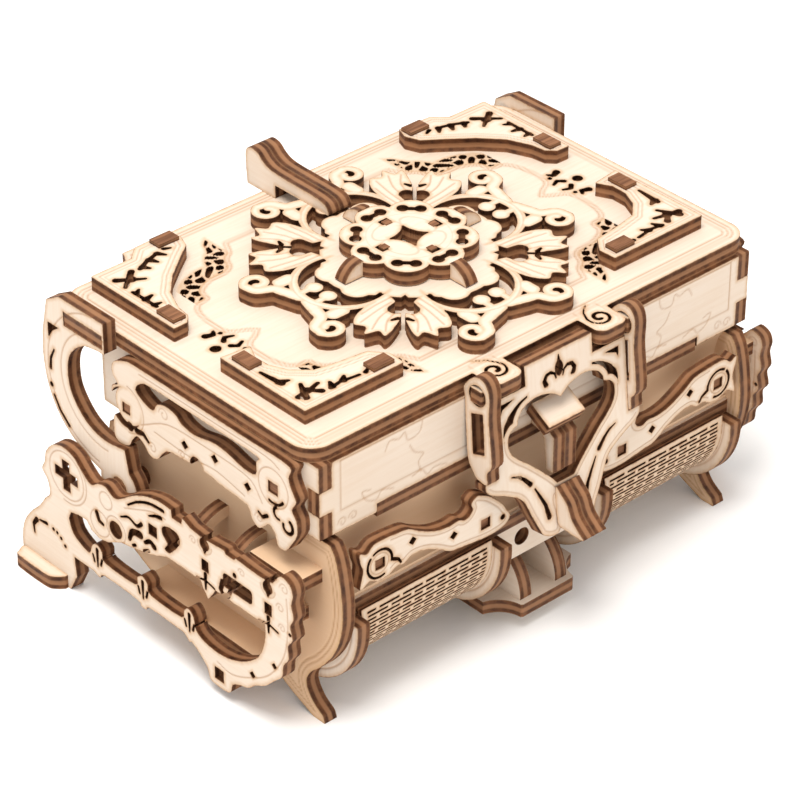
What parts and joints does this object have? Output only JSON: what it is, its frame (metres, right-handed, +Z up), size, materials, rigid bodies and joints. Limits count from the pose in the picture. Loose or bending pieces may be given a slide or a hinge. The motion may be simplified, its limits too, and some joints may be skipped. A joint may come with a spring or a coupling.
{
  "type": "jewellery_casket",
  "caption": "Ornate laser-cut plywood jewellery casket: hinged lid with carved medallion and turning rosette, swinging heart-shaped clasp, slit rolls and pierced side frames.",
  "frame": {"origin": "on the floor, midway between the side frames and midway between the lip of the clasp and the back of the strap", "axes": "+X to the right along the front, +Y to the back, +Z up"},
  "size_m": [0.1328, 0.0974, 0.0712],
  "materials": {
    "birch_ply": "matte, laser-burnt edges",
    "bent_ply": "matte",
    "burnt_peg": "matte"
  },
  "bodies": {
    "chest": {"end_plate_left": "birch_ply", "end_plate_right": "birch_ply", "body_rim": "birch_ply", "back_wall": "birch_ply", "inner_front": "birch_ply", "floor_plate": "birch_ply", "cove_front": "bent_ply", "ledge_front": "birch_ply", "roll_left": "bent_ply", "roll_right": "bent_ply", "roll_caps": "birch_ply", "front_scroll_left": "birch_ply", "front_scroll_right": "birch_ply", "front_scroll_pegs": "burnt_peg", "centre_plate": "birch_ply", "centre_base": "birch_ply", "centre_gussets": "birch_ply", "side_frame_left": "birch_ply", "side_frame_right": "birch_ply", "side_rails": "birch_ply", "side_arches": "birch_ply", "rear_pads": "birch_ply", "hinge_pins": "burnt_peg"},
    "lid": {"lid_plate": "birch_ply", "lid_front_panel": "birch_ply", "lid_back_panel": "birch_ply", "lid_side_panel_left": "birch_ply", "lid_side_panel_right": "birch_ply", "lid_corner_ornaments": "birch_ply", "lid_ornament_pegs": "burnt_peg", "medallion": "birch_ply", "lid_strap": "birch_ply", "lid_scroll_left": "birch_ply", "lid_scroll_right": "birch_ply", "lid_scroll_pegs": "burnt_peg", "hinge_arm_left": "birch_ply", "hinge_arm_right": "birch_ply", "lift_block": "birch_ply", "lift_cap": "birch_ply"},
    "rosette": {"rosette_ring": "birch_ply", "rosette_grips": "birch_ply", "rosette_pegs": "burnt_peg", "rosette_axle": "burnt_peg"},
    "clasp": {"clasp_plate": "birch_ply", "clasp_arms": "birch_ply", "clasp_prong": "birch_ply"}
  },
  "joints": [
    {"name": "lid_hinge", "type": "hinge", "parent": "chest", "child": "lid", "pos_m": [0, 0.01972, 0.03], "axis": [-1, 0, 0], "range_deg": [0, 90]},
    {"name": "rosette_turn", "type": "hinge", "parent": "lid", "child": "rosette", "pos_m": [0, 0.00372, 0.0655], "axis": [0, 0, 1], "continuous": true},
    {"name": "clasp_hinge", "type": "hinge", "parent": "lid", "child": "clasp", "pos_m": [0, -0.03708, 0.061], "axis": [-1, 0, 0], "range_deg": [0, 95]}
  ]
}
